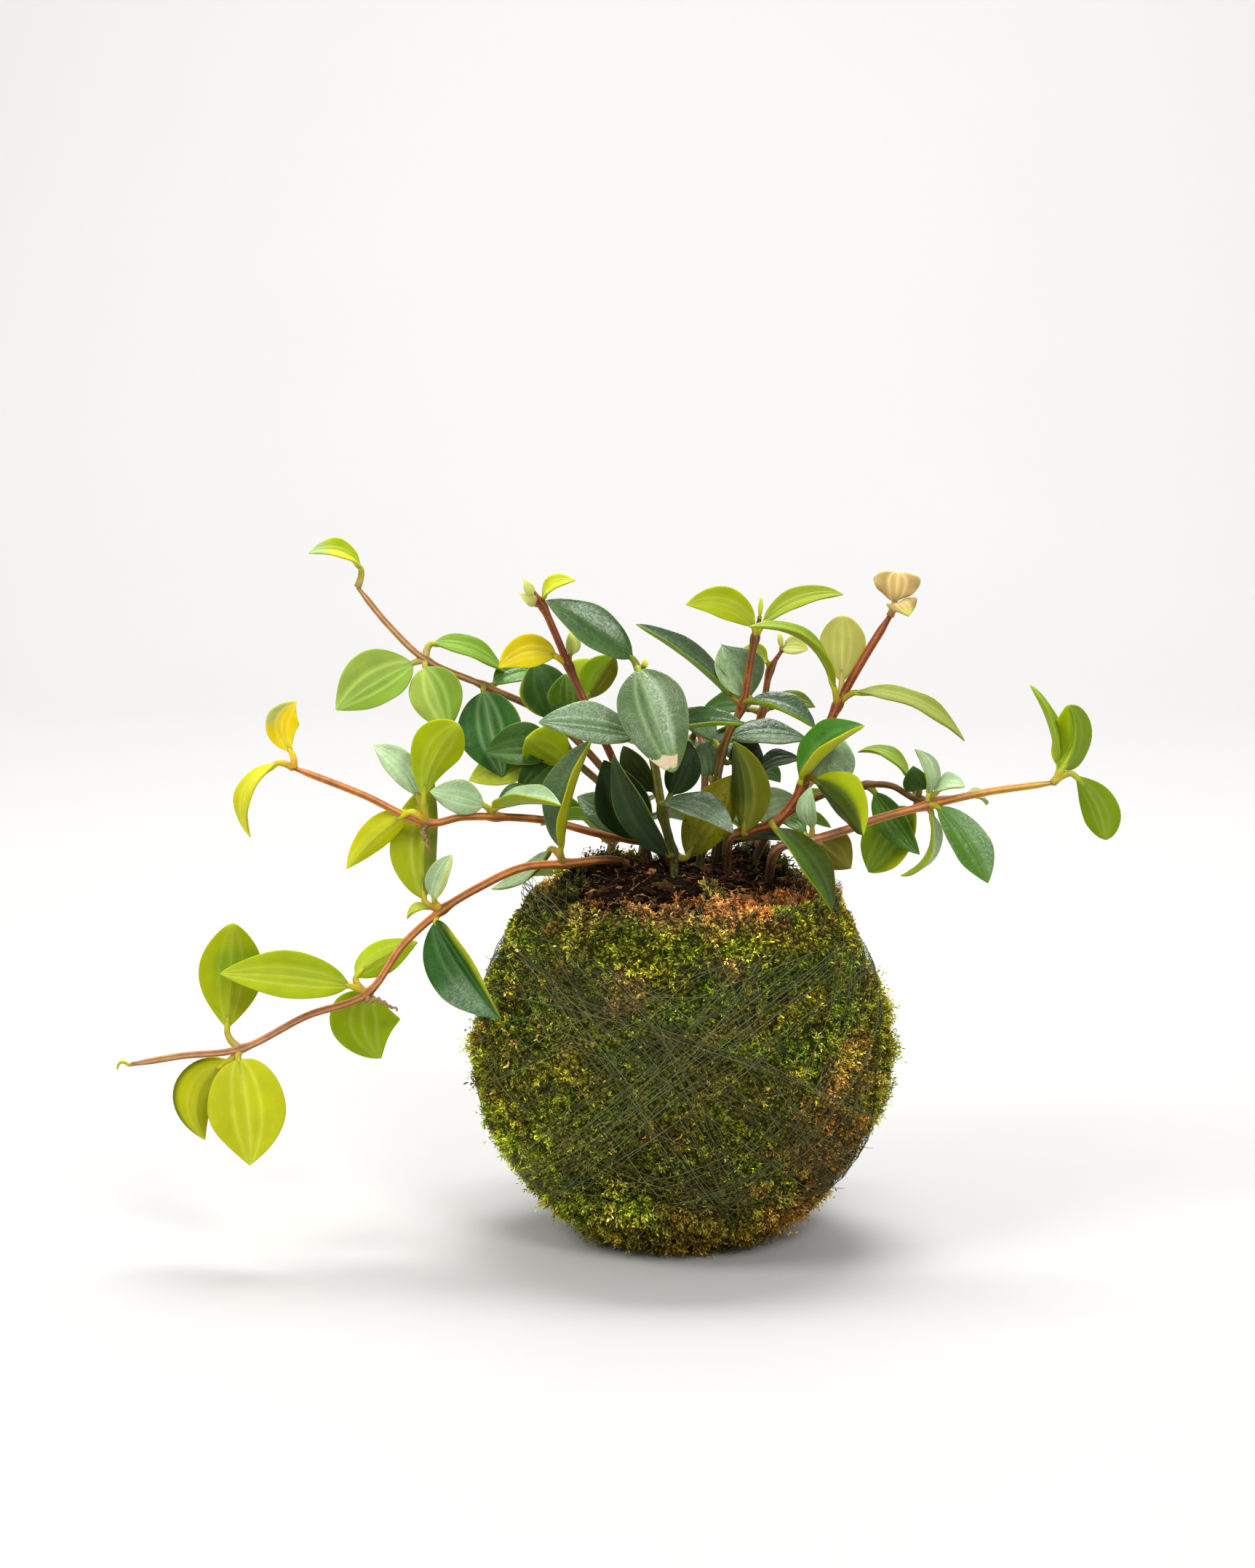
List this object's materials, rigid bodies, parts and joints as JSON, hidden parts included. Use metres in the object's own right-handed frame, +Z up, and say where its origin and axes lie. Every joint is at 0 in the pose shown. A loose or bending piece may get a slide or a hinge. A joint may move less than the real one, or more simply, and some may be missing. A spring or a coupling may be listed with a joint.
{
  "type": "kokedama moss ball plant",
  "caption": "Leafy trailing house plant growing out of a round ball of soil that is wrapped in living moss and bound with thread; it stands on its own flattened foot.",
  "frame": {"origin": "middle of the flat spot that the moss ball rests on", "axes": "+Z up; -Y is the front that faces the viewer; +X to the viewer's right, along the plant's longest spread"},
  "size_m": [0.2701, 0.1455, 0.1941],
  "materials": {
    "moss": "matte",
    "soil": "matte",
    "thread": "matte",
    "leaf": "satin"
  },
  "bodies": {
    "root": {"moss_cover": "moss", "soil_ball": "soil", "binding_thread": "thread", "spray_trailing_left": "leaf", "spray_middle_left": "leaf", "spray_upper_left": "leaf", "spray_inner_left": "leaf", "spray_red_left": "leaf", "spray_front_centre": "leaf", "spray_centre_right": "leaf", "spray_upper_right": "leaf", "spray_low_right": "leaf", "spray_back_right": "leaf", "spray_back_centre": "leaf", "spray_inner_right": "leaf", "spray_far_left": "leaf", "spray_far_middle": "leaf", "spray_far_right": "leaf"}
  },
  "joints": []
}
